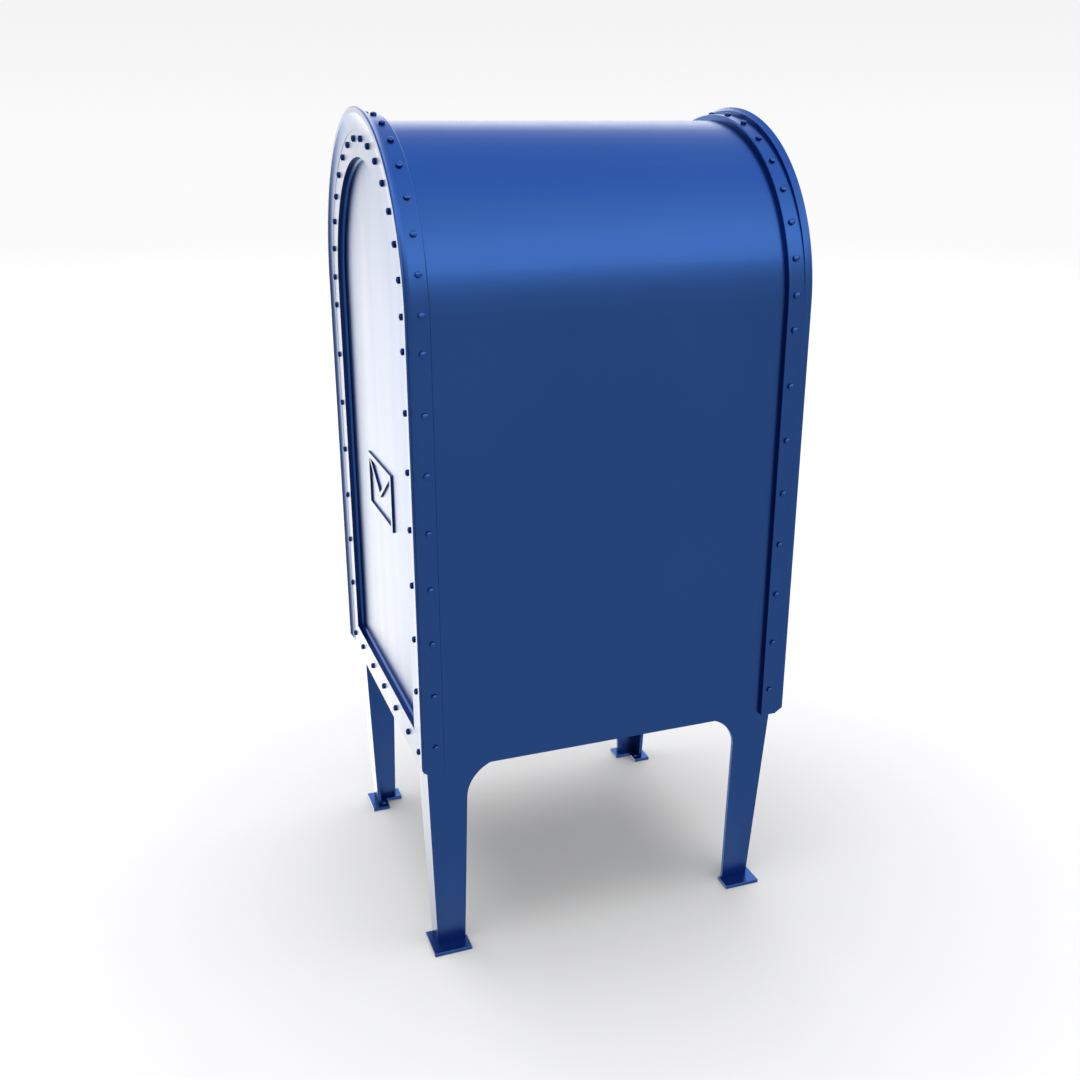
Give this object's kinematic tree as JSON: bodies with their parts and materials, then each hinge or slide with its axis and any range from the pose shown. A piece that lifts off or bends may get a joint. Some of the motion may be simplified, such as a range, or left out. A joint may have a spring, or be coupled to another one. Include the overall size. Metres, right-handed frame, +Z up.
{
  "type": "street collection mailbox",
  "caption": "Free-standing steel mailbox with an arched riveted body on four angle legs, a pull-down deposit door with hopper and a locking side-hinged collection door.",
  "frame": {"origin": "on the ground under the middle of the body's footprint, centred between the four feet", "axes": "+Z up; the doors face -Y and the plain back faces +Y; the two arched side panels face -X and +X"},
  "size_m": [0.603, 0.5632, 1.2657],
  "materials": {
    "body_paint": "semi-gloss blue enamel",
    "rivet_paint": "semi-gloss blue enamel over steel rivets",
    "galvanised_steel": "galvanised sheet",
    "pin_steel": "zinc plated",
    "lock_chrome": "polished",
    "lock_brass": "satin",
    "rubber": "matt black",
    "card": "blank card"
  },
  "bodies": {
    "mailbox_body": {"body_wrap": "body_paint", "collection_body_leaf": "body_paint", "collection_hinge_pin": "pin_steel", "corner_angle_left": "galvanised_steel", "corner_angle_right": "galvanised_steel", "deposit_body_leaf": "body_paint", "deposit_hinge_pin": "pin_steel", "edge_strip_left": "body_paint", "edge_strip_right": "body_paint", "floor_pan": "galvanised_steel", "foot_back_left": "body_paint", "foot_back_right": "body_paint", "foot_front_left": "body_paint", "foot_front_right": "body_paint", "leg_back_left": "body_paint", "leg_back_right": "body_paint", "leg_front_left": "body_paint", "leg_front_right": "body_paint", "panel_rivets_left": "rivet_paint", "panel_rivets_right": "rivet_paint", "rain_hood": "body_paint", "rim_trim_left": "body_paint", "rim_trim_right": "body_paint", "side_panel_left": "body_paint", "side_panel_right": "body_paint", "strike_plate": "pin_steel", "strip_rivets_left": "rivet_paint", "strip_rivets_right": "rivet_paint", "throat_baffle": "galvanised_steel"},
    "deposit_unit": {"deposit_door": "body_paint", "deposit_door_leaf": "body_paint", "deposit_handle": "body_paint", "deposit_tray": "galvanised_steel", "hopper_cheek_left": "galvanised_steel", "hopper_cheek_right": "galvanised_steel", "stop_bumpers": "rubber", "stop_pins": "pin_steel"},
    "collection_door_unit": {"collection_door": "body_paint", "collection_door_leaf": "body_paint", "door_gasket": "rubber", "door_grip": "body_paint", "door_stiffener": "galvanised_steel", "lock_barrel": "lock_chrome", "lock_barrel_nut": "pin_steel", "schedule_card": "card", "schedule_frame": "body_paint"},
    "lock_core": {"lock_cam": "pin_steel", "lock_cam_nut": "pin_steel", "lock_plug": "lock_brass"}
  },
  "joints": [
    {"name": "deposit_hinge", "type": "hinge", "parent": "mailbox_body", "child": "deposit_unit", "pos_m": [0, -0.262, 0.905], "axis": [1, 0, 0], "range_deg": [0, 50]},
    {"name": "collection_hinge", "type": "hinge", "parent": "mailbox_body", "child": "collection_door_unit", "pos_m": [-0.217, -0.262, 0.6075], "axis": [0, 0, -1], "range_deg": [0, 110]},
    {"name": "lock_turn", "type": "hinge", "parent": "collection_door_unit", "child": "lock_core", "pos_m": [0.15, -0.262, 0.6075], "axis": [0, 1, 0], "range_deg": [0, 90]}
  ]
}
